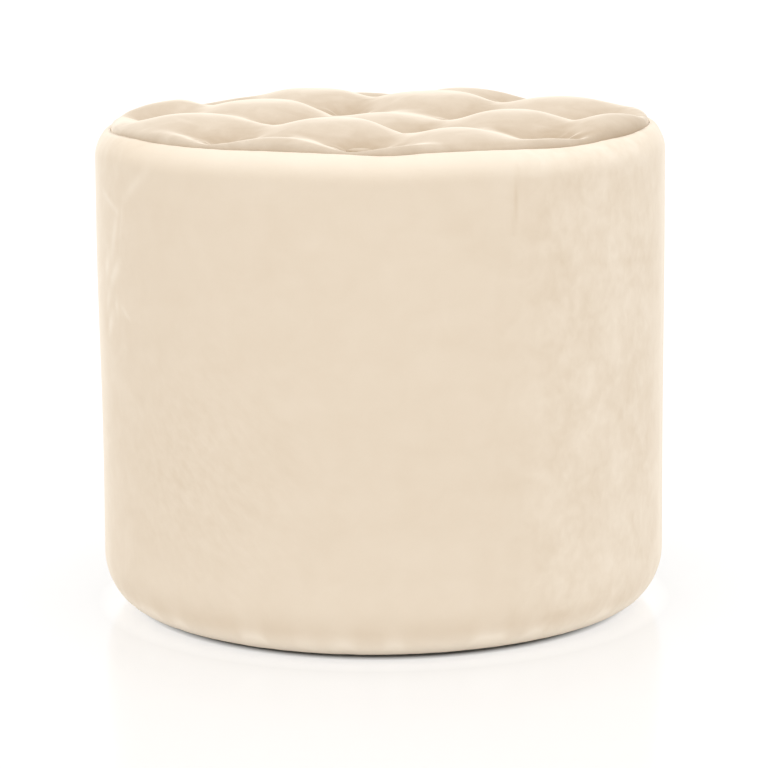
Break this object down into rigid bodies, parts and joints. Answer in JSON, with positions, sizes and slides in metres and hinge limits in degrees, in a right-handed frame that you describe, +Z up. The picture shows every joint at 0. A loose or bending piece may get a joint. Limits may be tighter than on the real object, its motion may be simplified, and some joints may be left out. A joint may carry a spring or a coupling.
{
  "type": "pouf",
  "caption": "Round upholstered pouf: a padded velvet drum with a buttoned, tufted seat on low glides, to sit on or to rest the feet on.",
  "frame": {"origin": "on the floor, under the middle of the pouf", "axes": "+Z up, -Y towards the front of the picture, the cover's own seam at +Y"},
  "size_m": [0.5, 0.4999, 0.4446],
  "materials": {
    "velvet": "matte",
    "foam": "matte",
    "wadding": "matte",
    "plywood": "matte",
    "softwood": "matte",
    "hardboard": "matte",
    "steel": "satin",
    "twine": "matte",
    "thread": "matte",
    "non_woven": "matte",
    "glide_plastic": "satin"
  },
  "bodies": {
    "root": {"top_cover": "velvet", "side_cover": "velvet", "button_caps": "velvet", "seat_foam": "foam", "side_foam": "foam", "seat_wadding": "wadding", "side_wadding": "wadding", "seat_board": "plywood", "base_board": "plywood", "post_1": "softwood", "post_2": "softwood", "post_3": "softwood", "post_4": "softwood", "post_5": "softwood", "post_6": "softwood", "twine_toggles": "softwood", "drum_wall": "hardboard", "seat_screws": "steel", "base_screws": "steel", "wall_staples_upper": "steel", "wall_staples_lower": "steel", "cover_staples": "steel", "dust_cover_staples": "steel", "glide_nails": "steel", "button_backs": "steel", "tuft_twines": "twine", "top_seam_thread": "thread", "back_seam_thread": "thread", "dust_cover": "non_woven", "glides": "glide_plastic"}
  },
  "joints": []
}
